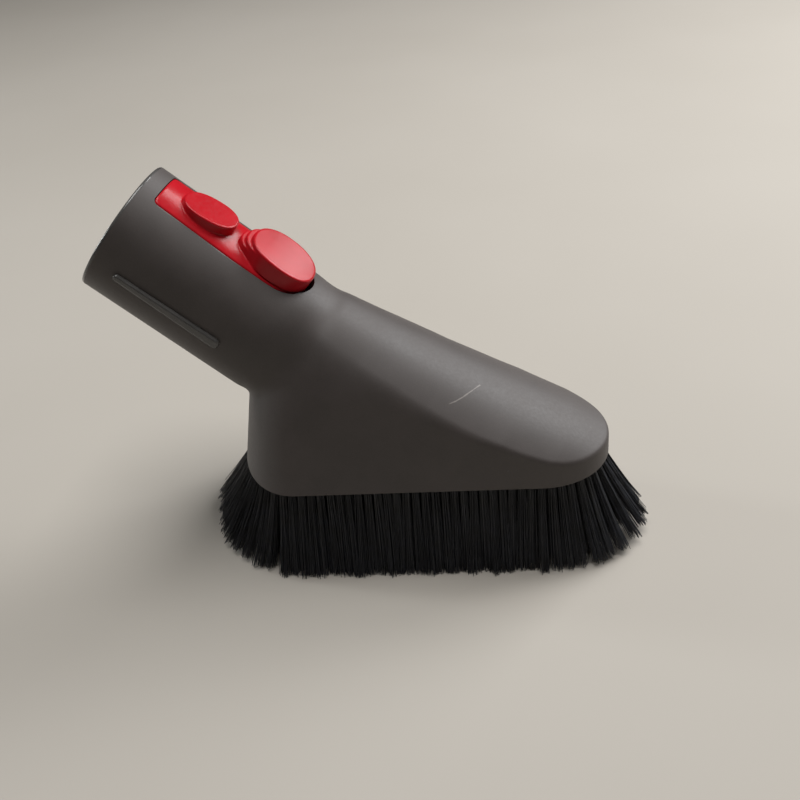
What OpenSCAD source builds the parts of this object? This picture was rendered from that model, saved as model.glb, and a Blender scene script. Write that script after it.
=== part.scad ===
// Soft dusting brush head with a quick-release socket.
// Millimetres. +Z up, +X towards the brush nose, Y across. The origin is on the
// table under the middle of the overall box: z = 0 is the level of the bristle tips.

/* [Socket] */
// Outside diameter of the collar
collar_d = 43.2; // [42.8:0.1:43.8]
// Tilt of the socket axis below the horizontal, degrees
tilt = 38.85; // [37:0.05:41]
// Height of the centre of the collar mouth above the table
mouth_z = 107.1; // [105:0.1:109]
// Distance of the collar mouth centre behind the origin
mouth_x = 74.92; // [73:0.01:77]
// Diameter of the seat that the machine's spigot slides into
seat_d = 36; // [35.6:0.1:36.4]
// Length of the seat
seat_len = 15; // [12:0.5:15]
// Diameter of the airway behind the seat
airway_d = 28.8; // [26:0.1:29]

/* [Brush body] */
// Height of the body's lower rim above the table
rim_z = 30.9; // [29:0.1:33]
// Height of the vertical nose wall
nose_wall = 6.6; // [6:0.1:9]
// Rear end of the footprint
foot_rear = -44.4; // [-46:0.1:-43]
// Nose end of the footprint
foot_nose = 76; // [74:0.1:77]
// Half width of the footprint at the rear
half_rear = 34.4; // [33:0.1:36]
// Half width of the footprint at the nose
half_nose = 21.75; // [21:0.05:24]
// Length of the rounded rear end
round_rear = 22.7; // [21:0.1:25]
// Length of the rounded nose end
round_nose = 23.1; // [22:0.1:25]
// Wall thickness of the body
wall = 2.2; // [2:0.1:2.4]

/* [Latch] */
// Position of the latch pivot along the socket axis
pivot_s = 34.5; // [34:0.1:35]
// Height of the latch pivot above the socket axis
pivot_n = 17.5; // [17.4:0.05:17.6]
// Diameter of the pivot pin
pin_d = 1.5; // [1.4:0.1:1.6]
// Height of the small front pad above the socket axis
front_pad_n = 24.3; // [23.6:0.1:25]
// Height of the thumb pad above the socket axis
thumb_pad_n = 26; // [25:0.1:27]

/* [Bristles] */
// How far the side bristles lean out at their tips
side_lean = 7.4; // [4:0.1:9]
// How far the end bristles lean out at their tips
end_lean = 15; // [10:0.1:15]
// Thickness of one row of tufts at the plate
row_w = 3.4; // [3:0.1:3.6]

/* [Hidden] */
$fn = 96;

body_grey = [0.26, 0.245, 0.235];
latch_red = [0.78, 0.09, 0.13];
bristle_black = [0.04, 0.042, 0.05];
inner_grey = [0.17, 0.17, 0.175];
steel = [0.72, 0.73, 0.75];

R = collar_d / 2;
wedge_s = 61.5;                 // where the collar runs into the wedge
liner_r = 19.6;                 // outside radius of the liner's seat
tube_r = airway_d / 2 + 1.4;    // outside radius of the liner's rear tube
shell_bore = liner_r + 0.05;
lead_s = 12;                    // depth of the lead-in ahead of the seat
seat_end = lead_s + seat_len;   // inner end of the seat
step_s = 29.6;                  // shoulder that the spigot stops at
top_z = rim_z + nose_wall;
plate_z0 = rim_z + 0.2;
plate_z1 = plate_z0 + 3.9;
slot_half = 9.6;
slot_end_s = 49;
slot_front_s = 5.7;
screws = [[-28.6, 9.5], [-28.6, -9.5], [59.4, 0]];

// socket frame: +X runs into the tool along the socket axis, +Z is away from the table side
module socket_frame() { translate([-mouth_x, 0, mouth_z]) rotate([0, tilt, 0]) children(); }
// solid of revolution about the socket axis, profile given as [s, r] points
module about_axis(pts) { socket_frame() rotate([0, 90, 0]) rotate_extrude() polygon([for (p = pts) [p[1], p[0]]]); }
module axis_cyl(r, s0, s1) { socket_frame() translate([s0, 0, 0]) rotate([0, 90, 0]) cylinder(r = r, h = s1 - s0); }

// half width of the footprint at x when pulled in by e
function half_at(x) = half_rear + (half_nose - half_rear) * (x - (foot_rear + round_rear)) / ((foot_nose - round_nose) - (foot_rear + round_rear));
// points of the left half of the footprint, rear end to nose end, pulled in by e
function rear_arc(e, n) = [for (i = [0:n]) let (t = 90 * i / n) [foot_rear + round_rear - (round_rear - e) * cos(t), (half_rear - e) * sin(t)]];
function nose_arc(e, n) = [for (i = [0:n]) let (t = 90 * i / n) [foot_nose - round_nose + (round_nose - e) * sin(t), (half_nose - e) * cos(t)]];
function mirror_y(p) = [for (i = [len(p) - 1:-1:0]) [p[i][0], -p[i][1]]];
function footprint(e, n = 10) = let (h = concat(rear_arc(e, n), nose_arc(e, n)), m = mirror_y(h)) concat(h, [for (i = [1:len(m) - 2]) m[i]]);
module foot_slab(e, z0, z1, n = 10) { translate([0, 0, z0]) linear_extrude(z1 - z0) polygon(footprint(e, n)); }

// ---------- body ----------
module wedge(e, z0, z1, r, s) {
    hull() {
        foot_slab(e, z0, z1);
        socket_frame() translate([s, 0, 0]) rotate([0, 90, 0]) cylinder(r = r, h = 0.4, $fn = 64);
    }
}
// raised rail on the collar's flank, a little deeper at its rear end
module flank_rail(side) {
    s0 = 7.9; s1 = 42.2; a = 1.3; b = 2.1; m0 = 0.8; m1 = 0.8;
    socket_frame() translate([0, side * 20.6, 0]) mirror([0, side > 0 ? 0 : 1, 0]) rotate([-90, 0, 0]) {
        linear_extrude(1.9) polygon([[s0, -m0 - a], [s1, -m1 - b], [s1, -m1 + b], [s0, -m0 + a]]);
        translate([s0, -m0, 0]) cylinder(r = a, h = 1.9, $fn = 32);
        translate([s1, -m1, 0]) cylinder(r = b, h = 1.9, $fn = 32);
    }
}
module slot_cut() {
    socket_frame() translate([0, 0, 12]) linear_extrude(20) {
        polygon([[slot_front_s + 1.8, -8.7], [34, -slot_half], [slot_end_s, -slot_half], [slot_end_s, slot_half], [34, slot_half], [slot_front_s + 1.8, 8.7]]);
        translate([slot_front_s, -6.9]) square([3, 13.8]);
        translate([slot_front_s + 1.8, 6.9]) circle(r = 1.8, $fn = 32);
        translate([slot_front_s + 1.8, -6.9]) circle(r = 1.8, $fn = 32);
        translate([slot_end_s, 0]) circle(r = slot_half);
    }
}
module body_shell() color(body_grey) {
    difference() {
        union() {
            wedge(0, rim_z, top_z, R - 0.05, wedge_s);
            axis_cyl(R, 0, wedge_s + 1);
            flank_rail(1);
            flank_rail(-1);
        }
        wedge(wall, rim_z - 2, plate_z1 + 0.5, 19.1, wedge_s + 0.2);
        axis_cyl(shell_bore, -2, wedge_s - 2);
        axis_cyl(tube_r + 0.05, 0, wedge_s + 3);
        slot_cut();
        // blind seats for the latch pin in the slot's side walls
        socket_frame() translate([pivot_s, -11.2, pivot_n]) rotate([-90, 0, 0]) cylinder(r = pin_d / 2 + 0.01, h = 22.4, $fn = 32);
    }
    // screw bosses: one under the nose roof, two webbed to the back wall
    difference() {
        intersection() {
            wedge(1, plate_z1, plate_z1 + 1, 20, wedge_s + 0.2);
            for (p = screws) translate([p[0], p[1], plate_z1]) {
                cylinder(r = 3.4, h = 14, $fn = 48);
                if (p[0] < 0) translate([-20, -1.1, 0]) cube([20, 2.2, 14]);
            }
        }
        for (p = screws) translate([p[0], p[1], plate_z1 - 1]) cylinder(r = 1.5, h = 8.5, $fn = 32);
    }
}

// ---------- socket ----------
module socket_liner() color(inner_grey) {
    difference() {
        union() {
            about_axis([[0.8, 18.4], [0.8, liner_r], [step_s + 1.9, liner_r], [step_s + 1.9, tube_r], [65, tube_r], [65, airway_d / 2],
                        [step_s, airway_d / 2], [step_s, 18.9], [seat_end, 18.9], [seat_end, seat_d / 2], [lead_s, seat_d / 2], [lead_s, 18.4]]);
            // spring seat on top of the rear tube
            socket_frame() translate([47, 0, airway_d / 2 + 0.4]) cylinder(r = 3.1, h = 1.2, $fn = 48);
            socket_frame() translate([47, 0, airway_d / 2 + 0.4]) cylinder(r = 1.7, h = 2.4, $fn = 48);
        }
        // window for the latch tooth
        socket_frame() translate([6.2, -4.6, 15]) cube([5.4, 9.2, 8]);
        // groove for the retaining ring
        about_axis([[61.8, tube_r - 0.5], [61.8, tube_r + 2], [62.8, tube_r + 2], [62.8, tube_r - 0.5]]);
    }
}
module liner_ring() color(steel) {
    about_axis([[61.85, tube_r - 0.45], [61.85, tube_r + 1.7], [62.75, tube_r + 1.7], [62.75, tube_r - 0.45]]);
}
module socket_seal() color([0.08, 0.08, 0.085]) {
    about_axis([[seat_end + 0.1, 18.85], [step_s - 0.05, 18.85], [step_s - 0.05, 16.4], [step_s - 0.9, 16.4], [seat_end + 0.9, 17.5], [seat_end + 0.1, 17.5]]);
}

// ---------- latch ----------
module latch_outline() {
    polygon([[slot_front_s + 2, -8.45], [34, -slot_half + 0.25], [47.4, -slot_half + 0.25], [47.4, slot_half - 0.25], [34, slot_half - 0.25], [slot_front_s + 2, 8.45]]);
    translate([slot_front_s + 0.25, -6.85]) square([3, 13.7]);
    translate([slot_front_s + 1.85, 6.85]) circle(r = 1.6, $fn = 32);
    translate([slot_front_s + 1.85, -6.85]) circle(r = 1.6, $fn = 32);
    translate([47.4, 0]) circle(r = slot_half - 0.25);
}
// rounded pad outline: a fat oval of half length a and half width b
function oval(cx, a, b, p, n) = [for (i = [0:n - 1]) let (t = 360 * i / n, c = cos(t), s = sin(t)) [cx + a * sign(c) * pow(abs(c), 2 / p), b * sign(s) * pow(abs(s), 2 / p)]];
module release_latch() color(latch_red) {
    difference() {
        union() {
            // curved strip, flush with the collar
            intersection() {
                about_axis([[4, 19.85], [4, R], [60, R], [60, 19.85]]);
                socket_frame() translate([0, 0, 12]) linear_extrude(20) latch_outline();
            }
            // front pad
            socket_frame() translate([0, 0, 20.1]) linear_extrude(front_pad_n - 20.1) polygon(oval(20.8, 8.6, 6.3, 2.3, 48));
            // thumb pad with a stepped front
            socket_frame() {
                hull() {
                    translate([0, 0, 20.2]) linear_extrude(0.6) polygon(oval(46.3, 10.6, 9.1, 2.3, 40));
                    translate([0, 0, thumb_pad_n - 0.6]) linear_extrude(0.6) polygon(oval(46.2, 11, 8.9, 2.3, 40));
                }
                translate([0, 0, 20.2]) linear_extrude(3.2) polygon(oval(43.7, 10.2, 7.8, 2.3, 40));
            }
            // pivot boss and its web
            socket_frame() translate([pivot_s, -9.2, pivot_n]) rotate([-90, 0, 0]) cylinder(r = 1.5, h = 18.4, $fn = 48);
            intersection() {
                socket_frame() translate([pivot_s - 1.5, -9.2, pivot_n]) cube([3, 18.4, 3]);
                axis_cyl(21, 30, 40);
            }
            // catch tooth under the front end
            socket_frame() translate([0, 4, 0]) rotate([90, 0, 0]) linear_extrude(8) polygon([[7.2, 20.4], [10.6, 20.4], [10.6, 16.9], [9.7, 16.9], [7.2, 18.7]]);
        }
        socket_frame() translate([pivot_s, -10, pivot_n]) rotate([-90, 0, 0]) cylinder(r = pin_d / 2 + 0.05, h = 20, $fn = 48);
        // spring cup
        socket_frame() translate([47, 0, 15]) cylinder(r = 3.4, h = 8.5, $fn = 48);
    }
}
module latch_pin() color(steel) {
    socket_frame() translate([pivot_s, -11.1, pivot_n]) rotate([-90, 0, 0]) cylinder(r = pin_d / 2, h = 22.2, $fn = 48);
}
// coil swept as rings of points along a helix
function ring_at(c, r, u, v, m) = [for (j = [0:m - 1]) let (t = 360 * j / m) c + r * (cos(t) * u + sin(t) * v)];
module coil(rc, rw, h, turns, per, m) {
    N = turns * per;
    pts = [for (i = [0:N]) let (t = 360 * i / per, z = rw + (h - 2 * rw) * i / N) each ring_at([rc * cos(t), rc * sin(t), z], rw, [cos(t), sin(t), 0], [0, 0, 1], m)];
    quads = [for (i = [0:N - 1]) for (j = [0:m - 1]) let (a = i * m + j, b = i * m + (j + 1) % m) each [[a, b, a + m], [b, b + m, a + m]]];
    polyhedron(pts, concat(quads, [[for (j = [m - 1:-1:0]) j]], [[for (j = [0:m - 1]) N * m + j]]));
}
module latch_spring() color(steel) {
    socket_frame() translate([47, 0, airway_d / 2 + 1.7]) coil(2.5, 0.3, 7.2, 5, 18, 8);
}

// ---------- brush plate ----------
module brush_plate() color(inner_grey) {
    difference() {
        foot_slab(wall + 0.25, plate_z0, plate_z1);
        // suction mouth
        translate([0, 0, plate_z0 - 1]) linear_extrude(8) {
            polygon([[-21, -16], [46, -8], [46, 8], [-21, 16]]);
            translate([46, 0]) circle(r = 8);
            translate([-15, 0]) intersection() { circle(r = 17.1); translate([-8.5, -20]) square([10, 40]); }
        }
        for (p = screws) translate([p[0], p[1], plate_z0]) {
            translate([0, 0, -1]) cylinder(r = 1.6, h = 8, $fn = 32);
            translate([0, 0, -0.01]) cylinder(r1 = 3, r2 = 1.6, h = 1.5, $fn = 48);
        }
    }
}
module plate_screws() color(steel) for (p = screws) translate([p[0], p[1], plate_z0]) {
    difference() {
        union() {
            translate([0, 0, 0.1]) cylinder(r1 = 2.8, r2 = 1.4, h = 1.5, $fn = 48);
            cylinder(r = 1.4, h = 10, $fn = 32);
        }
        // cross recess
        translate([-1.6, -0.35, -1]) cube([3.2, 0.7, 2.1]);
        translate([-0.35, -1.6, -1]) cube([0.7, 3.2, 2.1]);
    }
}

// ---------- bristles ----------
// closed band between two pairs of curves: top outer, top inner, bottom outer, bottom inner
module band(to, ti, bo, bi, z1, z0) {
    n = len(to);
    pts = concat([for (p = to) [p[0], p[1], z1]], [for (p = ti) [p[0], p[1], z1]], [for (p = bo) [p[0], p[1], z0]], [for (p = bi) [p[0], p[1], z0]]);
    f = concat(
        [for (i = [0:n - 2]) each [[i, i + 1, n + i], [i + 1, n + i + 1, n + i]]],
        [for (i = [0:n - 2]) each [[2 * n + i, 3 * n + i, 2 * n + i + 1], [2 * n + i + 1, 3 * n + i, 3 * n + i + 1]]],
        [for (i = [0:n - 2]) each [[i, 2 * n + i, i + 1], [i + 1, 2 * n + i, 2 * n + i + 1]]],
        [for (i = [0:n - 2]) each [[n + i, n + i + 1, 3 * n + i], [n + i + 1, 3 * n + i + 1, 3 * n + i]]],
        [[0, n, 2 * n], [n, 3 * n, 2 * n], [n - 1, 3 * n - 1, 2 * n - 1], [2 * n - 1, 3 * n - 1, 4 * n - 1]]);
    polyhedron(pts, f);
}
// straight side run between the two round ends, pulled in by e
function side_run(e) = let (a = foot_rear + round_rear + 0.15, b = foot_nose - round_nose - 0.15) [for (i = [0:4]) let (x = a + (b - a) * i / 4) [x, half_at(x) - e]];
// whole end fans, from one side round to the other
function nose_fan(e, d, n = 8) = let (h = [for (i = [0:n]) let (t = 90 * i / n) [foot_nose - round_nose + 0.15 + (round_nose - e + d) * sin(t), (half_nose - e + min(d, side_lean)) * cos(t)]]) concat(h, [for (i = [n - 1:-1:0]) [h[i][0], -h[i][1]]]);
function rear_fan(e, d, n = 8) = let (h = [for (i = [0:n]) let (t = 90 * i / n) [foot_rear + round_rear - 0.15 - (round_rear - e + d) * sin(t), (half_rear - e + min(d, side_lean)) * cos(t)]]) concat([for (i = [0:n]) [h[i][0], -h[i][1]]], [for (i = [n - 1:-1:0]) h[i]]);
e_out = wall + 0.35;
e_mid = e_out + row_w;
e_in = e_mid + 0.5;
e_last = e_in + row_w;
nose_tip = 88.47;               // outermost bristle tips, level with the collar's lower lip
bz = plate_z0 - 0.02;
module side_bank(a, b, la, lb) band(side_run(a), side_run(b), side_run(a - la), side_run(b - lb), bz, 0);
module bristles_outer_left() color(bristle_black) side_bank(e_out, e_mid, side_lean, side_lean - 3);
module bristles_outer_right() color(bristle_black) mirror([0, 1, 0]) side_bank(e_out, e_mid, side_lean, side_lean - 3);
module bristles_inner_left() color(bristle_black) side_bank(e_in, e_last, side_lean - 4, 0);
module bristles_inner_right() color(bristle_black) mirror([0, 1, 0]) side_bank(e_in, e_last, side_lean - 4, 0);
module bristles_outer_nose() color(bristle_black) {
    d = nose_tip - (foot_nose + 0.15 - e_out);
    band(nose_fan(e_out, 0), nose_fan(e_mid, 0), nose_fan(e_out, d), nose_fan(e_mid, d - 5), bz, 3);
}
module bristles_outer_rear() color(bristle_black)
    band(rear_fan(e_out, 0), rear_fan(e_mid, 0), rear_fan(e_out, end_lean), rear_fan(e_mid, end_lean - 5), bz, 3);
module bristles_inner_nose() color(bristle_black)
    band(nose_fan(e_in, 0), nose_fan(e_last, 0), nose_fan(e_in, end_lean - 8), nose_fan(e_last, 0), bz, 0);
module bristles_inner_rear() color(bristle_black)
    band(rear_fan(e_in, 0), rear_fan(e_last, 0), rear_fan(e_in, end_lean - 8), rear_fan(e_last, 0), bz, 0);

body_shell();
socket_liner();
liner_ring();
socket_seal();
release_latch();
latch_pin();
latch_spring();
brush_plate();
plate_screws();
bristles_outer_left();
bristles_outer_right();
bristles_outer_nose();
bristles_outer_rear();
bristles_inner_left();
bristles_inner_right();
bristles_inner_nose();
bristles_inner_rear();
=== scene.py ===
import math
import bpy
import bmesh
import numpy as np
from mathutils import Matrix, Vector


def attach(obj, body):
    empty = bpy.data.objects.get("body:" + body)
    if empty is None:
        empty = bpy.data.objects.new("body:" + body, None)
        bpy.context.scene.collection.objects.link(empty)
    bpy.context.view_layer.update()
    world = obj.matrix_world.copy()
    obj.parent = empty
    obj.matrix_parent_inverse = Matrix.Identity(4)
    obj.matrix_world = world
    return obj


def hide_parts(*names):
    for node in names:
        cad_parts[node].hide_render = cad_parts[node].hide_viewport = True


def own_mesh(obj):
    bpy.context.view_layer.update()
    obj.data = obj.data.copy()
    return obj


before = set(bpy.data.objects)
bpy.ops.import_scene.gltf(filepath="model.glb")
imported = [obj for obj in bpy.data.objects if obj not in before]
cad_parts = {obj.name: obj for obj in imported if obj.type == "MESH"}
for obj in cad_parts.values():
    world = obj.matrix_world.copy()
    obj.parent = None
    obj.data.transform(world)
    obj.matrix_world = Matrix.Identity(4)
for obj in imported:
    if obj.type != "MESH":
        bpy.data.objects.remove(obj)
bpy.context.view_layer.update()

MM = 0.001
TILT = math.radians(38.85)
CA, SA = math.cos(TILT), math.sin(TILT)
MX, MZ = -74.92, 107.1            # centre of the collar mouth, mm
R = 21.6                          # collar radius
RIM = 30.9                        # lower rim of the body
SEED = 20871
scene = bpy.context.scene


# ---------------------------------------------------------------- camera
cam_data = bpy.data.cameras.new("camera")
cam_data.lens, cam_data.sensor_width, cam_data.sensor_fit = 45.0, 36.0, "HORIZONTAL"
cam_data.clip_start, cam_data.clip_end = 0.01, 20.0
cam = bpy.data.objects.new("camera", cam_data)
scene.collection.objects.link(cam)
yaw, pitch, roll = -0.270, 0.616, -0.100
fw = np.array([math.sin(yaw) * math.cos(pitch), math.cos(yaw) * math.cos(pitch), -math.sin(pitch)])
r0 = np.array([math.cos(yaw), -math.sin(yaw), 0.0])
u0 = np.cross(r0, fw)
cr = math.cos(roll) * r0 + math.sin(roll) * u0
cu = -math.sin(roll) * r0 + math.cos(roll) * u0
m = Matrix.Identity(4)
for i in range(3):
    m[i][0], m[i][1], m[i][2] = cr[i], cu[i], -fw[i]
    m[i][3] = (79.7654, -257.6141, 235.0512)[i] * MM
cam.matrix_world = m
scene.camera = cam


# ---------------------------------------------------------------- helpers
def new_object(name, verts_mm, faces):
    me = bpy.data.meshes.new(name)
    me.from_pydata((np.asarray(verts_mm, float) * MM).tolist(), [], [tuple(int(i) for i in f) for f in faces])
    me.update()
    ob = bpy.data.objects.new(name, me)
    scene.collection.objects.link(ob)
    return ob


def from_arrays(name, verts_mm, quads):
    """Fast mesh from (N,3) vertices in mm and (M,k) faces of one size."""
    me = bpy.data.meshes.new(name)
    v = np.ascontiguousarray(np.asarray(verts_mm, np.float64) * MM, np.float32)
    q = np.ascontiguousarray(quads, np.int32)
    n, k = q.shape
    me.vertices.add(len(v))
    me.vertices.foreach_set("co", v.ravel())
    me.loops.add(n * k)
    me.loops.foreach_set("vertex_index", q.ravel())
    me.polygons.add(n)
    me.polygons.foreach_set("loop_start", np.arange(0, n * k, k, dtype=np.int32))
    me.polygons.foreach_set("loop_total", np.full(n, k, np.int32))
    me.update(calc_edges=True)
    ob = bpy.data.objects.new(name, me)
    scene.collection.objects.link(ob)
    return ob


def smooth(ob, angle=None):
    me = ob.data
    me.polygons.foreach_set("use_smooth", np.ones(len(me.polygons), bool))
    if angle is not None:
        bm = bmesh.new()
        bm.from_mesh(me)
        for e in bm.edges:
            e.smooth = not (len(e.link_faces) == 2 and e.calc_face_angle(0.0) > math.radians(angle))
        bm.to_mesh(me)
        bm.free()
    me.update()
    return ob


def boolean(ob, cutter, op="DIFFERENCE"):
    md = ob.modifiers.new("b", "BOOLEAN")
    md.operation, md.object, md.solver = op, cutter, "MANIFOLD"
    dg = bpy.context.evaluated_depsgraph_get()
    me = bpy.data.meshes.new_from_object(ob.evaluated_get(dg))
    if len(me.polygons) < 10:
        md.solver = "EXACT"
        dg = bpy.context.evaluated_depsgraph_get()
        me = bpy.data.meshes.new_from_object(ob.evaluated_get(dg))
    ob.modifiers.remove(md)
    old = ob.data
    ob.data = me
    bpy.data.meshes.remove(old)
    bpy.data.objects.remove(cutter)
    return ob


def to_row(s, y, n):
    """Socket frame (s into the tool, y, n up from the axis) to the row frame, mm."""
    s, y, n = np.broadcast_arrays(np.asarray(s, float), np.asarray(y, float), np.asarray(n, float))
    return np.stack([MX + s * CA + n * SA, y, MZ - s * SA + n * CA], -1)


def to_socket(P):
    dx, dz = P[..., 0] - MX, P[..., 2] - MZ
    return dx * CA - dz * SA, P[..., 1], dx * SA + dz * CA


def smax(a, b, k):
    h = np.maximum(k - np.abs(a - b), 0.0) / k
    return np.maximum(a, b) + h * h * k * 0.25


def smin(a, b, k):
    h = np.maximum(k - np.abs(a - b), 0.0) / k
    return np.minimum(a, b) - h * h * k * 0.25


def step01(x):
    x = np.clip(x, 0.0, 1.0)
    return x * x * (3 - 2 * x)


def nets(f, lo, hi, h, polish=3):
    """Surface nets of the level set f = 0 on a grid of pitch h, then each vertex is moved onto it."""
    ax = [np.arange(lo[i], hi[i] + h, h) for i in range(3)]
    n = [len(a) for a in ax]
    F = np.empty(n, np.float32)
    YY, ZZ = np.meshgrid(ax[1], ax[2], indexing="ij")
    for i, x in enumerate(ax[0]):
        F[i] = f(np.stack([np.full_like(YY, x), YY, ZZ], -1))
    ins = F < 0
    corners = [(i, j, k) for i in (0, 1) for j in (0, 1) for k in (0, 1)]
    sl = lambda a, c: a[c[0]:n[0] - 1 + c[0], c[1]:n[1] - 1 + c[1], c[2]:n[2] - 1 + c[2]]
    cnt = sum(sl(ins, c).astype(np.int8) for c in corners)
    act = np.argwhere((cnt > 0) & (cnt < 8))
    idx = np.full([n[0] - 1, n[1] - 1, n[2] - 1], -1, np.int32)
    idx[act[:, 0], act[:, 1], act[:, 2]] = np.arange(len(act))
    vals = {c: F[act[:, 0] + c[0], act[:, 1] + c[1], act[:, 2] + c[2]].astype(float) for c in corners}
    acc, num = np.zeros((len(act), 3)), np.zeros(len(act))
    for a in corners:
        for d in range(3):
            if a[d] == 0:
                b = tuple(1 if i == d else a[i] for i in range(3))
                fa, fb = vals[a], vals[b]
                cross = (fa < 0) != (fb < 0)
                t = np.where(cross, fa / np.where(cross, fa - fb, 1.0), 0.0)
                p = np.tile(np.array(a, float), (len(act), 1))
                p[:, d] += t
                acc += np.where(cross[:, None], p, 0)
                num += cross
    V = (act + acc / num[:, None]) * h + np.array([a[0] for a in ax])
    quads = []
    for d in range(3):
        e1, e2 = (d + 1) % 3, (d + 2) % 3
        A = [slice(None)] * 3
        B = [slice(None)] * 3
        A[d], B[d] = slice(0, n[d] - 1), slice(1, n[d])
        for e in (e1, e2):
            A[e] = B[e] = slice(1, n[e] - 1)
        a, b = ins[tuple(A)], ins[tuple(B)]
        e = np.argwhere(a != b)
        flip = a[e[:, 0], e[:, 1], e[:, 2]]
        e = e.copy()
        e[:, e1] += 1
        e[:, e2] += 1
        q = []
        for o1, o2 in ((-1, -1), (0, -1), (0, 0), (-1, 0)):
            c = e.copy()
            c[:, e1] += o1
            c[:, e2] += o2
            q.append(idx[c[:, 0], c[:, 1], c[:, 2]])
        q = np.stack(q, -1)
        q[~flip] = q[~flip][:, ::-1]
        quads.append(q)
    Q = np.concatenate(quads)
    Q = Q[(Q >= 0).all(1)]
    for _ in range(polish):
        f0, g = f(V), np.empty_like(V)
        for d in range(3):
            s = np.zeros(3)
            s[d] = 0.02
            g[:, d] = (f(V + s) - f(V - s)) / 0.04
        gg = np.maximum((g * g).sum(-1), 0.05)
        st = -(f0 / gg)[:, None] * g
        ln = np.linalg.norm(st, axis=1)
        st *= np.minimum(1.0, 0.6 * h / np.maximum(ln, 1e-9))[:, None]
        V = V + st
    return V, Q


# ---------------------------------------------------------------- materials
def material(name, base, rough, **kw):
    mt = bpy.data.materials.new(name)
    mt.use_nodes = True
    nt = mt.node_tree
    p = nt.nodes["Principled BSDF"]
    p.inputs["Base Color"].default_value = (*base, 1)
    p.inputs["Roughness"].default_value = rough
    for k, v in kw.items():
        p.inputs[k.replace("_", " ")].default_value = v
    return mt, nt, p


def node(nt, kind, inputs=None, **props):
    nd = nt.nodes.new(kind)
    for k, v in props.items():
        setattr(nd, k, v)
    for k, v in (inputs or {}).items():
        nd.inputs[k].default_value = v
    return nd


def noise(nt, coord, scale, detail=2.0, rough=0.5):
    nd = node(nt, "ShaderNodeTexNoise", {"Scale": scale, "Detail": detail, "Roughness": rough})
    nt.links.new(coord, nd.inputs["Vector"])
    return nd.outputs["Fac"]


def ramp(nt, fac, lo, hi, a, b):
    nd = node(nt, "ShaderNodeMapRange", {"From Min": lo, "From Max": hi, "To Min": a, "To Max": b})
    nt.links.new(fac, nd.inputs["Value"])
    return nd.outputs["Result"]


def mix(nt, fac, a, b):
    nd = node(nt, "ShaderNodeMix", data_type="RGBA")
    for sock, v in ((nd.inputs[0], fac), (nd.inputs[6], a), (nd.inputs[7], b)):
        if isinstance(v, bpy.types.NodeSocket):
            nt.links.new(v, sock)
        else:
            sock.default_value = v if isinstance(v, float) else (*v, 1)
    return nd.outputs[2]


def math2(nt, op, a, b=None):
    nd = node(nt, "ShaderNodeMath", operation=op)
    for i, v in enumerate((a, b)):
        if v is None:
            continue
        if isinstance(v, bpy.types.NodeSocket):
            nt.links.new(v, nd.inputs[i])
        else:
            nd.inputs[i].default_value = v
    return nd.outputs[0]


def bump(nt, p, height, dist, strength=1.0, after=None):
    nd = node(nt, "ShaderNodeBump", {"Strength": strength, "Distance": dist})
    nt.links.new(height, nd.inputs["Height"])
    if after is not None:
        nt.links.new(after, nd.inputs["Normal"])
    nt.links.new(nd.outputs["Normal"], p.inputs["Normal"])
    return nd.outputs["Normal"]


def coords(nt):
    return node(nt, "ShaderNodeTexCoord").outputs["Object"]


def segment_mask(nt, co, p0, p1, width, wobble=None):
    """1 near the segment p0-p1 (metres), falling to 0 at width from it."""
    p0, p1 = np.array(p0, float), np.array(p1, float)
    length = float(np.linalg.norm(p1 - p0))
    d = (p1 - p0) / length
    sub = node(nt, "ShaderNodeVectorMath", operation="SUBTRACT")
    nt.links.new(co, sub.inputs[0])
    sub.inputs[1].default_value = p0
    dot = node(nt, "ShaderNodeVectorMath", operation="DOT_PRODUCT")
    nt.links.new(sub.outputs[0], dot.inputs[0])
    dot.inputs[1].default_value = d
    along = dot.outputs["Value"]
    sc = node(nt, "ShaderNodeVectorMath", operation="SCALE")
    sc.inputs[0].default_value = d
    nt.links.new(along, sc.inputs["Scale"])
    per = node(nt, "ShaderNodeVectorMath", operation="SUBTRACT")
    nt.links.new(sub.outputs[0], per.inputs[0])
    nt.links.new(sc.outputs[0], per.inputs[1])
    ln = node(nt, "ShaderNodeVectorMath", operation="LENGTH")
    nt.links.new(per.outputs[0], ln.inputs[0])
    dist = ln.outputs["Value"]
    if wobble is not None:
        dist = math2(nt, "ADD", dist, wobble)
    near = ramp(nt, dist, width * 0.35, width, 1.0, 0.0)
    a = ramp(nt, along, -0.0002, 0.0, 0.0, 1.0)
    b = ramp(nt, along, length, length + 0.0002, 1.0, 0.0)
    return math2(nt, "MULTIPLY", math2(nt, "MULTIPLY", near, a), b)


# warm dark grey moulded plastic with a fine satin grain
body_mat, nt, p = material("body_plastic", (0.073, 0.067, 0.063), 0.5, Specular_IOR_Level=0.45)
co = coords(nt)
fine, mid, big = noise(nt, co, 3800, 2.0, 0.6), noise(nt, co, 1100, 3.0, 0.6), noise(nt, co, 60, 3.0, 0.55)
col = mix(nt, ramp(nt, big, 0.35, 0.65, 0.0, 1.0), (0.068, 0.058, 0.0545), (0.082, 0.070, 0.066))
col = mix(nt, ramp(nt, fine, 0.3, 0.7, 0.0, 0.35), col, (0.107, 0.094, 0.088))
wob = ramp(nt, noise(nt, co, 260, 2.0, 0.5), 0.3, 0.7, -0.00012, 0.00012)
SCRATCH = [((0.02819, -0.01618, 0.05729), (0.03006, -0.01447, 0.05732)), ((0.03006, -0.01447, 0.05732), (0.03188, -0.01231, 0.05741)),
           ((0.03188, -0.01231, 0.05741), (0.03362, -0.00959, 0.05749)), ((0.03362, -0.00959, 0.05749), (0.03605, -0.00515, 0.05720))]
spots = None
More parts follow.
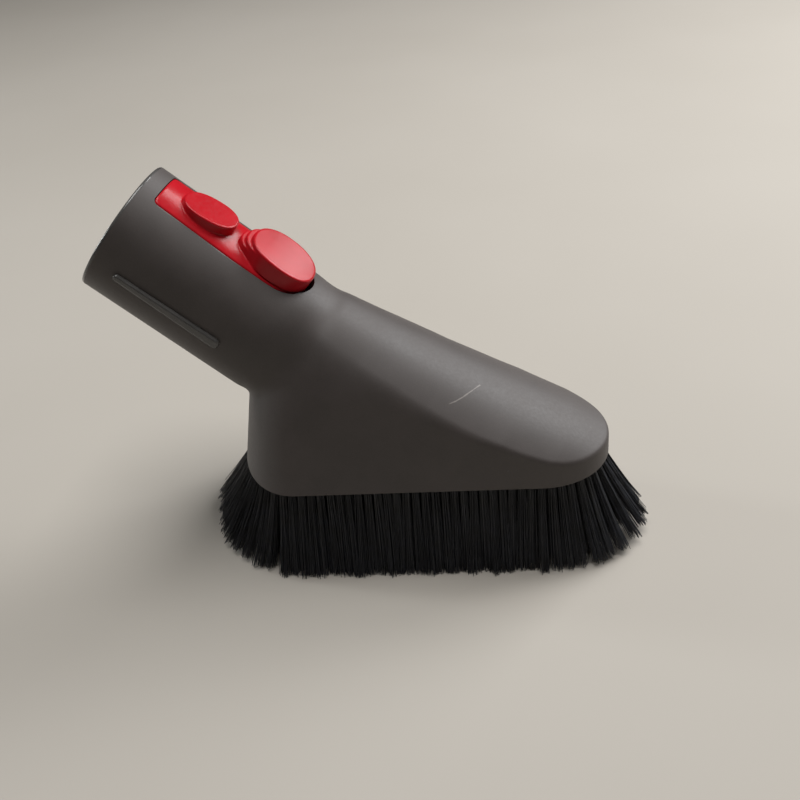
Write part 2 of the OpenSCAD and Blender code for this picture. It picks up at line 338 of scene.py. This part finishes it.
for a_, b_ in SCRATCH:
    mk = segment_mask(nt, co, a_, b_, 0.00024, wob)
    spots = mk if spots is None else math2(nt, "MAXIMUM", spots, mk)
dust = ramp(nt, noise(nt, co, 420, 1.0, 0.4), 0.80, 0.86, 0.0, 0.12)
col = mix(nt, dust, col, (0.3, 0.28, 0.26))
col = mix(nt, math2(nt, "MULTIPLY", spots, 0.42), col, (0.42, 0.38, 0.35))
nt.links.new(col, p.inputs["Base Color"])
rg = math2(nt, "ADD", ramp(nt, mid, 0.3, 0.7, -0.035, 0.035), ramp(nt, big, 0.3, 0.7, 0.49, 0.55))
nt.links.new(rg, p.inputs["Roughness"])
nrm = bump(nt, p, fine, 0.000022, 0.55)
bump(nt, p, mid, 0.00003, 0.35, nrm)

# the mouth's lip is polished by use
lip_mat, nt, p = material("lip_plastic", (0.085, 0.082, 0.078), 0.2, Specular_IOR_Level=0.7)
co = coords(nt)
fine, big = noise(nt, co, 2200, 2.0, 0.6), noise(nt, co, 150, 2.0, 0.5)
nt.links.new(mix(nt, ramp(nt, big, 0.3, 0.7, 0.0, 1.0), (0.075, 0.072, 0.069), (0.10, 0.096, 0.092)), p.inputs["Base Color"])
nt.links.new(ramp(nt, fine, 0.3, 0.7, 0.16, 0.28), p.inputs["Roughness"])
bump(nt, p, fine, 0.00001, 0.3)

# darker moulding for the liner and plate
inner_mat, nt, p = material("inner_plastic", (0.052, 0.051, 0.052), 0.5)
co = coords(nt)
fine, big = noise(nt, co, 1800, 2.0, 0.6), noise(nt, co, 90, 3.0, 0.5)
col = mix(nt, ramp(nt, big, 0.35, 0.65, 0.0, 1.0), (0.045, 0.044, 0.045), (0.062, 0.060, 0.060))
nt.links.new(col, p.inputs["Base Color"])
nt.links.new(ramp(nt, fine, 0.3, 0.7, 0.42, 0.56), p.inputs["Roughness"])
bump(nt, p, fine, 0.00003, 0.4)

# glossy red moulding
latch_mat, nt, p = material("latch_red", (0.44, 0.012, 0.020), 0.22, Specular_IOR_Level=0.22)
co = coords(nt)
big, fine = noise(nt, co, 120, 2.0, 0.5), noise(nt, co, 900, 3.0, 0.6)
col = mix(nt, ramp(nt, big, 0.3, 0.7, 0.0, 1.0), (0.47, 0.010, 0.017), (0.53, 0.012, 0.021))
nt.links.new(col, p.inputs["Base Color"])
nt.links.new(ramp(nt, fine, 0.3, 0.7, 0.17, 0.27), p.inputs["Roughness"])
bump(nt, p, big, 0.00004, 0.25)

# black nylon filaments
bristle_mat, nt, p = material("bristle_nylon", (0.012, 0.013, 0.017), 0.36, Specular_IOR_Level=0.6)
co = coords(nt)
big, fine = noise(nt, co, 330, 2.0, 0.5), noise(nt, co, 2600, 1.0, 0.5)
col = mix(nt, ramp(nt, big, 0.3, 0.7, 0.0, 1.0), (0.006, 0.007, 0.011), (0.017, 0.020, 0.030))
nt.links.new(col, p.inputs["Base Color"])
nt.links.new(ramp(nt, fine, 0.3, 0.7, 0.30, 0.46), p.inputs["Roughness"])

# soft seal
seal_mat, nt, p = material("seal_rubber", (0.02, 0.02, 0.021), 0.75)
co = coords(nt)
fine = noise(nt, co, 1500, 3.0, 0.6)
nt.links.new(mix(nt, ramp(nt, fine, 0.3, 0.7, 0.0, 1.0), (0.016, 0.016, 0.017), (0.028, 0.027, 0.027)), p.inputs["Base Color"])
nt.links.new(ramp(nt, fine, 0.3, 0.7, 0.66, 0.84), p.inputs["Roughness"])
bump(nt, p, fine, 0.00004, 0.4)

# bright steel for the pin, spring, ring and screws
steel_mat, nt, p = material("steel", (0.6, 0.61, 0.63), 0.28, Metallic=1.0)
co = coords(nt)
fine, big = noise(nt, co, 3000, 3.0, 0.6), noise(nt, co, 300, 2.0, 0.5)
nt.links.new(mix(nt, ramp(nt, big, 0.3, 0.7, 0.0, 1.0), (0.52, 0.52, 0.53), (0.66, 0.67, 0.69)), p.inputs["Base Color"])
nt.links.new(ramp(nt, fine, 0.3, 0.7, 0.2, 0.38), p.inputs["Roughness"])
bump(nt, p, fine, 0.00001, 0.3)


def wear(ob, mt):
    ob.data.materials.clear()
    ob.data.materials.append(mt)
    return ob


# ---------------------------------------------------------------- body
C1, C2 = -21.7, 52.9              # centres of the rear and nose rounds


def wall_field(P, grow=0.0):
    """Below 0 inside the side wall: a tapered footprint with round ends that leans in as it rises."""
    x, ya, z = P[..., 0], np.abs(P[..., 1]), P[..., 2]
    zz = np.clip(z - RIM, 0.0, 75.0)
    u = np.clip((x - C1) / (C2 - C1), 0, 1)
    ya = ya + 1.6 * np.sin(math.pi * u) ** 2 * zz / 25.0
    a1, b1 = 22.7 - 0.184 * zz - grow, 34.4 - 0.31 * zz - grow
    a2, b2 = 23.1 - 0.02 * zz - grow, 21.75 - 0.05 * zz - grow
    a1, b1 = np.maximum(a1, 2.0), np.maximum(b1, 3.0)
    a2, b2 = np.maximum(a2, 2.0), np.maximum(b2, 3.0)
    mm = np.zeros_like(x)
    for _ in range(4):
        s1, s2 = np.sqrt(a1 * a1 * mm * mm + b1 * b1), np.sqrt(a2 * a2 * mm * mm + b2 * b2)
        mm = -(s1 - s2) / (C2 - C1)
    k = s1 - mm * C1
    x1, x2 = C1 - mm * a1 * a1 / s1, C2 - mm * a2 * a2 / s2
    line = (ya - (mm * x + k)) / np.sqrt(1 + mm * mm)

    def ell(c, a, b):
        p_, q_ = (x - c) / a, ya / b
        fm = np.sqrt(p_ * p_ + q_ * q_) + 1e-6
        return (fm - 1) / (np.sqrt((p_ / a) ** 2 + (q_ / b) ** 2) / fm + 1e-9)
    return np.where(x < x1, ell(C1, a1, b1), np.where(x > x2, ell(C2, a2, b2), line))


CREASE_S = [50, 61.5, 66, 72, 78, 85, 92, 99, 106, 114, 124, 131, 139, 150, 160]
CREASE_N = [5.4, 6.0, 8.3, 11.1, 13.2, 15.5, 17.5, 19.3, 20.9, 23.2, 25.9, 28.0, 30.0, 33.0, 35.4]


def roof_shape(s):
    u = (s - 61.5) / (147.8 - 61.5)
    uc = np.clip(u, 0, 1)
    top = 21.6 + 0.1896 * (s - 61.5) - 1.35 * 4 * uc * (1 - uc) - 1.1 * (1 - step01((s - 61.0) / 10.0))
    crease = np.interp(s, CREASE_S, CREASE_N)
    sag = np.where(s < 147.8, top - crease, 5.56)
    half = 21.0 + 0.6 * np.sin(math.pi * uc) - 0.3 * uc
    return top, sag, half


def roof_field(P):
    """Below 0 under the crowned roof, which flattens towards the nose and runs on straight past its shoulders."""
    s, y, n = to_socket(P)
    ya = np.sqrt(y * y + 0.25)
    top, sag, half = roof_shape(s)
    pw = np.interp(s, [60, 66, 82], [2.5, 2.4, 2.25])
    t = np.clip(ya / half, 0, 1)
    drop = sag * t ** pw + np.maximum(ya - half, 0) * sag * pw / half
    slope = sag * pw / half * t ** (pw - 1)
    return (n - top + drop) / np.sqrt(1 + slope * slope)


def crease_round(x):
    return np.interp(x, [-30, -10, 5, 15, 30, 45, 56, 62], [15.0, 5.6, 3.2, 2.3, 1.6, 1.1, 0.9, 0.8])


def body_field(P):
    s, y, n = to_socket(P)
    wedge = smax(wall_field(P), roof_field(P), crease_round(P[..., 0]))
    sink = np.clip(s - 55.5, 0, 40)
    collar = np.sqrt(y * y + n * n) - R + 0.026 * sink * sink
    collar = np.maximum(collar, -3.0 - s)
    f = smin(wedge, collar, 1.6 + 3.6 * step01((n + 20.0) / 16.0))
    return np.maximum(f, 29.0 - P[..., 2])


def cavity_field(P):
    s, y, n = to_socket(P)
    w = smax(wall_field(P) + 2.2, roof_field(P) + 2.3, np.maximum(crease_round(P[..., 0]), 2.0))
    return np.maximum(np.maximum(w, 63.0 - s), 26.0 - P[..., 2])


def revolve(name, profile, seg=160, closed=True):
    """Lathed ring about the socket axis from [s, r] points."""
    pr = np.array(profile, float)
    t = np.arange(seg) * 2 * math.pi / seg
    v = to_row(pr[:, None, 0], pr[:, None, 1] * np.sin(t)[None], pr[:, None, 1] * np.cos(t)[None]).reshape(-1, 3)
    k = len(pr)
    faces = []
    for i in range(k if closed else k - 1):
        j = (i + 1) % k
        for a in range(seg):
            b = (a + 1) % seg
            faces.append((i * seg + a, i * seg + b, j * seg + b, j * seg + a))
    if not closed:
        faces.append(tuple(range(seg - 1, -1, -1)))
        faces.append(tuple((k - 1) * seg + a for a in range(seg)))
    ob = new_object(name, v, faces)
    bm = bmesh.new()
    bm.from_mesh(ob.data)
    bmesh.ops.recalc_face_normals(bm, faces=bm.faces)
    bm.to_mesh(ob.data)
    bm.free()
    return ob


def prism(name, outline, n0, n1):
    """Outline of (s, y) points raised from n0 to n1 in the socket frame."""
    k = len(outline)
    o = np.array(outline, float)
    v = np.concatenate([to_row(o[:, 0], o[:, 1], n0), to_row(o[:, 0], o[:, 1], n1)])
    faces = [tuple(range(k)), tuple(range(2 * k - 1, k - 1, -1))]
    faces += [(i, i + k, (i + 1) % k + k, (i + 1) % k) for i in range(k)]
    ob = new_object(name, v, faces)
    bm = bmesh.new()
    bm.from_mesh(ob.data)
    bmesh.ops.recalc_face_normals(bm, faces=bm.faces)
    bm.to_mesh(ob.data)
    bm.free()
    return ob


def slab(name, lo, hi):
    ob = new_object(name, [(x, y, z) for x in (lo[0], hi[0]) for y in (lo[1], hi[1]) for z in (lo[2], hi[2])],
                    [(0, 1, 3, 2), (4, 6, 7, 5), (0, 4, 5, 1), (2, 3, 7, 6), (0, 2, 6, 4), (1, 5, 7, 3)])
    return ob


def slot_outline(gap=0.0):
    g = gap
    pts = []
    for t in np.linspace(-90, 90, 41):
        pts.append((49 + (9.6 - g) * math.cos(math.radians(t)), (9.6 - g) * math.sin(math.radians(t))))
    pts.append((34, 9.6 - g))
    for t in np.linspace(90, 180, 9):
        pts.append((7.5 + (1.8 - g) * math.cos(math.radians(t)), 6.9 + (1.8 - g) * math.sin(math.radians(t))))
    for t in np.linspace(180, 270, 9):
        pts.append((7.5 + (1.8 - g) * math.cos(math.radians(t)), -6.9 + (1.8 - g) * math.sin(math.radians(t))))
    pts.append((34, -9.6 + g))
    return pts


STEP = 0.62
V, Q = nets(body_field, (-93, -38, 27), (79, 38, 126), STEP)
body = from_arrays("body_hood", V, Q)
V2, Q2 = nets(cavity_field, (-46, -35, 24), (76, 35, 92), 1.2)
cavity = from_arrays("cavity", V2, Q2)
boolean(body, cavity)
boolean(body, revolve("bore", [(-6, 19.65), (59.5, 19.65)], 160, closed=False))
boolean(body, revolve("airway", [(-6, 15.85), (70, 15.85)], 128, closed=False))
boolean(body, prism("slot", slot_outline(), 12, 32))
boolean(body, slab("below", (-200, -200, -50), (200, 200, RIM)))
# the mouth is cut square and gets a rounded lip of its own
boolean(body, prism("front", [(-40, -60), (0.95, -60), (0.95, 60), (-40, 60)], -60, 60))

co_ = np.empty(len(body.data.vertices) * 3, np.float32)
body.data.vertices.foreach_get("co", co_)
co_ = co_.reshape(-1, 3).astype(float) / MM
bm = bmesh.new()
bm.from_mesh(body.data)
bm.faces.ensure_lookup_table()
cen = np.array([f.calc_center_median() for f in bm.faces]) / MM
outer = np.abs(body_field(cen)) < 0.12
sf, yf, nf = to_socket(cen)
outer &= (cen[:, 2] > RIM + 0.01) & (sf > 0.96)
for e in bm.edges:
    if len(e.link_faces) == 2:
        a_, b_ = e.link_faces[0].index, e.link_faces[1].index
        if outer[a_] and outer[b_]:
            e.smooth = True
        elif outer[a_] != outer[b_]:
            e.smooth = False
        else:
            e.smooth = e.calc_face_angle(0.0) < math.radians(30)
for f in bm.faces:
    f.smooth = True
bm.to_mesh(body.data)
bm.free()
wear(body, body_mat)
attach(body, "brush")
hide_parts("body_shell")

# rounded lip of the collar's mouth
lip_o, lip_i = 0.75, 0.6
pr = [(0.95, R)] + [(lip_o - lip_o * math.sin(t), R - lip_o + lip_o * math.cos(t)) for t in np.linspace(0, math.pi / 2, 10)]
pr += [(lip_i - lip_i * math.cos(t), 19.65 + lip_i - lip_i * math.sin(t)) for t in np.linspace(0, math.pi / 2, 7)] + [(0.95, 19.65)]
lip = smooth(revolve("mouth_lip", pr, 192), 50)
wear(lip, lip_mat)
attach(lip, "brush")


# ---------------------------------------------------------------- flank rails
def rail(side):
    """Raised rail on the collar's flank, rounded over and a little deeper at its rear end."""
    def f(P):
        s, y, n = to_socket(P)
        y = y * side
        u = np.clip((s - 9.4) / (43.4 - 9.4), 0, 1)
        half = 1.1 + 0.5 * u
        ds = np.where(s < 9.4, s - 9.4, np.where(s > 43.4, s - 43.4, 0))
        rr = np.sqrt(y * y + n * n)
        bar = smax(np.sqrt(ds * ds + (n + 0.8) ** 2) - half, rr - R - 1.25 - 0.1 * u, 0.75)
        return np.maximum(bar, R - 1.0 - rr)
    lo = to_row(0, 0, 0)
    pts = np.array([to_row(s, side * y, n) for s in (6.5, 46.5) for y in (20.2, 23.9) for n in (-4, 3.5)])
    v, q = nets(f, pts.min(0) - 0.6, pts.max(0) + 0.6, 0.24)
    ob = smooth(from_arrays("flank_rail_left" if side > 0 else "flank_rail_right", v, q), 60)
    wear(ob, lip_mat)
    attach(ob, "brush")
    return ob


rail(1)
rail(-1)


# ---------------------------------------------------------------- latch
def super_oval(s, y, cx, a, b, p_=2.3):
    q = (np.abs((s - cx) / a) ** p_ + np.abs(y / b) ** p_) ** (1 / p_)
    ga = np.abs((s - cx) / a) ** (p_ - 1) / a
    gb = np.abs(y / b) ** (p_ - 1) / b
    g = np.sqrt(ga * ga + gb * gb) / np.maximum(q, 1e-3) ** (p_ - 1)
    return (q - 1) / np.maximum(g, 1e-3)


def latch_field(P):
    s, y, n = P[..., 0], P[..., 1], P[..., 2]
    rr = np.sqrt(y * y + n * n)
    half = np.interp(s, [5.9, 34.0, 60.0], [8.45, 9.38, 9.38])
    side = np.abs(y) - half
    front = 5.85 - s
    corner = smax(side, front, 2.0)
    rear = np.where(s > 47.4, np.sqrt((s - 47.4) ** 2 + y * y) - 9.32, side)
    outline = np.maximum(corner, rear)
    # the strip is flush at its edges and a shallow dish runs between the two pads
    dish = 0.55 * np.exp(-((s - 32.3) / 3.2) ** 2 - (y / 5.5) ** 2)
    strip = np.maximum(smax(outline, rr - 21.6 + dish, 0.6), 19.85 - rr)
    # small front pad: low at its front, with a wall at the rear
    t1 = 22.95 + (s - 12.0) * 0.098 - n
    pad1 = np.maximum(smax(super_oval(s, y, 20.8, 8.75, 6.35), -t1, 0.6), 20.2 - n)
    # thumb pad with two steps at its front
    top2 = 26.15 - 0.006 * (s - 40.0) ** 2 * (s > 40.0) * 0.6
    pad2 = np.maximum(smax(super_oval(s, y, 46.25, 11.0, 8.95), n - top2, 0.7), 20.2 - n)
    st1 = np.maximum(smax(super_oval(s, y, 44.1, 10.6, 7.8), n - 24.6, 0.4), 20.2 - n)
    st2 = np.maximum(smax(super_oval(s, y, 43.5, 11.3, 7.0), n - 23.1, 0.4), 20.2 - n)
    f = smin(strip, pad1, 0.45)
    f = smin(f, pad2, 0.4)
    f = smin(smin(f, st1, 0.2), st2, 0.2)
    # pivot boss, its web, and the catch tooth
    boss = np.maximum(np.sqrt((s - 34.5) ** 2 + (n - 17.5) ** 2) - 1.5, np.abs(y) - 9.2)
    boss = np.maximum(boss, 0.8 - np.sqrt((s - 34.5) ** 2 + (n - 17.5) ** 2))
    web = np.maximum(np.maximum(np.abs(s - 34.5) - 1.3, np.abs(y) - 9.0), np.maximum(rr - 20.6, 18.4 - n))
    tooth = np.maximum(np.maximum(np.abs(s - 8.9) - 1.7, np.abs(y) - 4.0), np.maximum(16.9 - n, n - 20.4))
    tooth = smax(tooth, (18.7 - n) * 0.81 - (s - 7.2) * 0.58, 0.3)
    f = smin(np.minimum(f, boss), np.minimum(web, tooth), 0.3)
    cup = np.maximum(np.sqrt((s - 47.0) ** 2 + y * y) - 3.4, n - 23.5)
    return np.maximum(f, -cup)


V, Q = nets(latch_field, (4.5, -10.5, 15.8), (59, 10.5, 27.2), 0.24)
latch = smooth(from_arrays("latch_rocker", to_row(V[:, 0], V[:, 1], V[:, 2]), Q), 62)
wear(latch, latch_mat)
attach(latch, "latch")
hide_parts("release_latch")


# ---------------------------------------------------------------- bristles
def foot_path(e):
    """Closed path along the rim pulled in by e: points, outward normals and arc length, from the rear's middle."""
    def arc(c, a, b, t):
        return np.stack([c + a * np.cos(t), b * np.sin(t)], -1)
    A = arc(C1, 22.7 - e, 34.4 - e, np.linspace(math.pi, math.pi / 2, 200))
    B = arc(C2, 23.1 - e, 21.75 - e, np.linspace(math.pi / 2, 0, 200))
    S = A[-1] + (B[0] - A[-1]) * np.linspace(0, 1, 200)[1:-1, None]
    up = np.concatenate([A, S, B])
    P = np.concatenate([up, up[::-1][1:-1] * [1, -1]])
    T = np.roll(P, -1, 0) - np.roll(P, 1, 0)
    for _ in range(40):           # evens out the turn where the round ends meet the sides
        T = (np.roll(T, 1, 0) + T + np.roll(T, -1, 0)) / 3
    N = np.stack([-T[:, 1], T[:, 0]], -1)
    N /= np.linalg.norm(N, axis=1)[:, None]
    L = np.concatenate([[0], np.cumsum(np.linalg.norm(np.diff(P, axis=0), axis=1))])
    return P, N, L, L[-1] + np.linalg.norm(P[0] - P[-1])


rng = np.random.default_rng(SEED)
ROWS = [  # inset, side lean, rear lean, nose lean, where its tufts belong
    (3.7, 13.6, 33.0, 29.5, "outer"),
    (6.2, 9.0, 24.5, 22.5, "outer"),
    (8.7, 4.0, 15.0, 14.0, "inner"),
]
PER = 62
bins = {}
for ri, (e, side_l, rear_l, nose_l, group) in enumerate(ROWS):
    P, N, L, total = foot_path(e)
    count = int(round(total / 3.05))
    for i in range(count):
        at = (i + 0.5 * (ri % 2)) * total / count
        j = min(np.searchsorted(L, at), len(P) - 1)
        c, nrm2 = P[j], N[j]
        if nrm2 @ (c - np.array([15.0, 0])) < 0:
            nrm2 = -nrm2
        nx = nrm2[0]
        lean = side_l + ((nose_l if nx > 0 else rear_l) - side_l) * abs(nx) ** 2.7
        ztip = 0.15 + 3.0 * abs(nx) ** 2.7 * (1.0 if group == "outer" else 0.3)
        tan = np.array([-nrm2[1], nrm2[0]])
        part = "nose" if c[0] > C2 else "rear" if c[0] < C1 else "left" if c[1] > 0 else "right"
        key = f"{group}_{part}"
        jl, jt = rng.normal(0, 0.8), rng.normal(0, 1.0)
        k = PER
        rad = 1.15 * np.sqrt(rng.random(k))
        ang = rng.random(k) * 2 * math.pi
        du, dv = rad * np.cos(ang), rad * np.sin(ang)
        root = c + du[:, None] * nrm2 + dv[:, None] * tan
        th = np.radians(lean + jl + du * 1.3 + rng.normal(0, 0.6, k))
        tw = np.radians(jt + dv * (1.4 + 0.9 * abs(nx)) + rng.normal(0, 0.6, k))
        z0 = RIM + 0.25
        zt = ztip + np.abs(rng.normal(0, 0.35, k)) + np.where(rng.random(k) < 0.025, rng.random(k) * 2.5, 0)
        h = z0 - zt
        out, along = h * np.tan(th), h * np.tan(tw)
        bow = rng.normal(0.5, 0.5, k) + 0.045 * np.abs(out)
        t = np.linspace(0, 1, 5)[None, :, None]
        base = np.concatenate([root, np.full((k, 1), z0)], 1)[:, None, :]
        d3 = np.concatenate([out[:, None] * nrm2 + along[:, None] * tan, -h[:, None]], 1)[:, None, :]
        b3 = np.concatenate([nrm2, [0.0]])[None, None, :] * bow[:, None, None]
        line = base + d3 * t + b3 * (4 * t * (1 - t)) * -0.5
        bins.setdefault(key, []).append(line)

TUBE = np.array([[math.cos(a), math.sin(a)] for a in (0.3, 0.3 + 2 * math.pi / 3, 0.3 + 4 * math.pi / 3)])
for key, lines in sorted(bins.items()):
    Ln = np.concatenate(lines)                                    # K, 5, 3
    K = len(Ln)
    d = Ln[:, -1] - Ln[:, 0]
    d /= np.linalg.norm(d, axis=1)[:, None]
    ref = np.tile([1.0, 0, 0], (K, 1))
    u = np.cross(d, ref)
    u /= np.linalg.norm(u, axis=1)[:, None]
    v = np.cross(d, u)
    rad = np.array([0.135, 0.135, 0.135, 0.13, 0.11])
    ringv = TUBE[:, 0][None, :, None] * u[:, None, :] + TUBE[:, 1][None, :, None] * v[:, None, :]      # K,3,3
    pts = Ln[:, :, None, :] + ringv[:, None, :, :] * rad[None, :, None, None]                           # K,5,3,3
    V = pts.reshape(-1, 3)
    V[:, 2] = np.maximum(V[:, 2], 0.02)
    base = (np.arange(K) * 15)[:, None, None]
    ii, jj = np.arange(4)[:, None], np.arange(3)[None, :]
    q = np.stack([ii * 3 + jj, ii * 3 + (jj + 1) % 3, (ii + 1) * 3 + (jj + 1) % 3, (ii + 1) * 3 + jj], -1).reshape(1, 12, 4)
    Q = (base + q).reshape(-1, 4)
    tip = (np.arange(K) * 15)[:, None] + np.array([12, 13, 14, 14])[None]
    me_q = Q
    ob = from_arrays("bristles_" + key + "_tufts", V, me_q)
    smooth(ob)
    wear(ob, bristle_mat)
    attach(ob, "brush")
    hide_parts("bristles_" + key)


# ---------------------------------------------------------------- return coil
def return_coil():
    n0, tall, turns, ring, wire = 16.1, 7.0, 5.0, 2.5, 0.3
    k, m = 150, 10
    t = np.linspace(0, 1, k)
    lift = np.interp(t, [0, 0.16, 0.84, 1], [0, 0.07, 0.93, 1])      # closed end turns
    ang = 2 * math.pi * turns * t
    c = np.stack([47 + ring * np.cos(ang), ring * np.sin(ang), n0 + tall * lift], -1)
    tan = np.gradient(c, axis=0)
    tan /= np.linalg.norm(tan, axis=1)[:, None]
    out = np.stack([np.cos(ang), np.sin(ang), 0 * ang], -1)
    side = np.cross(tan, out)
    side /= np.linalg.norm(side, axis=1)[:, None]
    out = np.cross(side, tan)
    a = np.arange(m) * 2 * math.pi / m
    P = c[:, None] + wire * (np.cos(a)[None, :, None] * out[:, None] + np.sin(a)[None, :, None] * side[:, None])
    P = np.concatenate([P.reshape(-1, 3), c[:1], c[-1:]])
    q = [(i * m + j, i * m + (j + 1) % m, (i + 1) * m + (j + 1) % m, (i + 1) * m + j) for i in range(k - 1) for j in range(m)]
    q += [(k * m, (j + 1) % m, j) for j in range(m)] + [(k * m + 1, (k - 1) * m + j, (k - 1) * m + (j + 1) % m) for j in range(m)]
    ob = new_object("latch_coil", to_row(P[:, 0], P[:, 1], P[:, 2]), q)
    bm = bmesh.new()
    bm.from_mesh(ob.data)
    bmesh.ops.recalc_face_normals(bm, faces=bm.faces)
    bm.to_mesh(ob.data)
    bm.free()
    smooth(ob, 60)
    wear(ob, steel_mat)
    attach(ob, "brush")
    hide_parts("latch_spring")
    foot, up = to_row(47.0, 0.0, n0 - wire), to_row(0.0, 0.0, 1.0) - to_row(0.0, 0.0, 0.0)
    tuple(float(v) for v in up)
    tuple(float(v) * MM for v in foot)
    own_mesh(ob)


return_coil()


# ---------------------------------------------------------------- CAD nodes that stay
for name, mt in (("socket_liner", inner_mat), ("brush_plate", inner_mat), ("socket_seal", seal_mat), ("liner_ring", steel_mat),
                 ("latch_pin", steel_mat), ("plate_screws", steel_mat)):
    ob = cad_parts[name]
    for sl_ in ob.material_slots:
        sl_.material = mt
    if not ob.material_slots:
        ob.data.materials.append(mt)


# ---------------------------------------------------------------- stage and light
rim_t = np.linspace(0, 2 * math.pi, 97)[:-1]
floor = new_object("floor", [(1300 * math.cos(t), 1300 * math.sin(t), 0) for t in rim_t], [tuple(range(96))])
fmat, nt, p = material("floor_paper", (0.74, 0.71, 0.66), 0.7)
co = coords(nt)
nt.links.new(mix(nt, ramp(nt, noise(nt, co, 4, 3.0, 0.5), 0.3, 0.7, 0.0, 1.0), (0.46, 0.425, 0.375), (0.49, 0.455, 0.405)), p.inputs["Base Color"])
wear(floor, fmat)


def area(name, loc, target, size, energy, color=(1, 1, 1)):
    l = bpy.data.lights.new(name, "AREA")
    l.shape, l.size, l.size_y, l.energy, l.color = "RECTANGLE", size[0], size[1], energy, color
    o = bpy.data.objects.new(name, l)
    scene.collection.objects.link(o)
    o.location = loc
    o.rotation_mode = "QUATERNION"
    o.rotation_quaternion = (Vector(target) - Vector(loc)).to_track_quat("-Z", "Y")
    return o


area("overhead", (0.0, 0.077, 1.147), (0, 0, 0.05), (0.7, 0.7), 9.4, (1.0, 0.995, 0.985))
area("back_right", (0.579, 0.690, 0.681), (0, 0, 0.05), (0.6, 0.6), 9.6, (0.98, 0.99, 1.0))
area("window", (-1.05, 0.12, 0.36), (-0.03, 0, 0.07), (0.14, 0.30), 3.0, (0.93, 0.98, 1.0))
world = bpy.data.worlds.new("world")
scene.world = world
world.use_nodes = True
bg = world.node_tree.nodes["Background"]
bg.inputs["Color"].default_value = (1.0, 0.80, 0.72, 1)
bg.inputs["Strength"].default_value = 0.015
wt = world.node_tree
pale = node(wt, "ShaderNodeBackground", {"Color": (0.56, 0.53, 0.48, 1), "Strength": 1.0})
seen = node(wt, "ShaderNodeLightPath")
blend_ = node(wt, "ShaderNodeMixShader")
wt.links.new(seen.outputs["Is Camera Ray"], blend_.inputs[0])
wt.links.new(bg.outputs[0], blend_.inputs[1])
wt.links.new(pale.outputs[0], blend_.inputs[2])
wt.links.new(blend_.outputs[0], wt.nodes["World Output"].inputs["Surface"])
scene.view_settings.view_transform = "Standard"
scene.view_settings.look = "None"
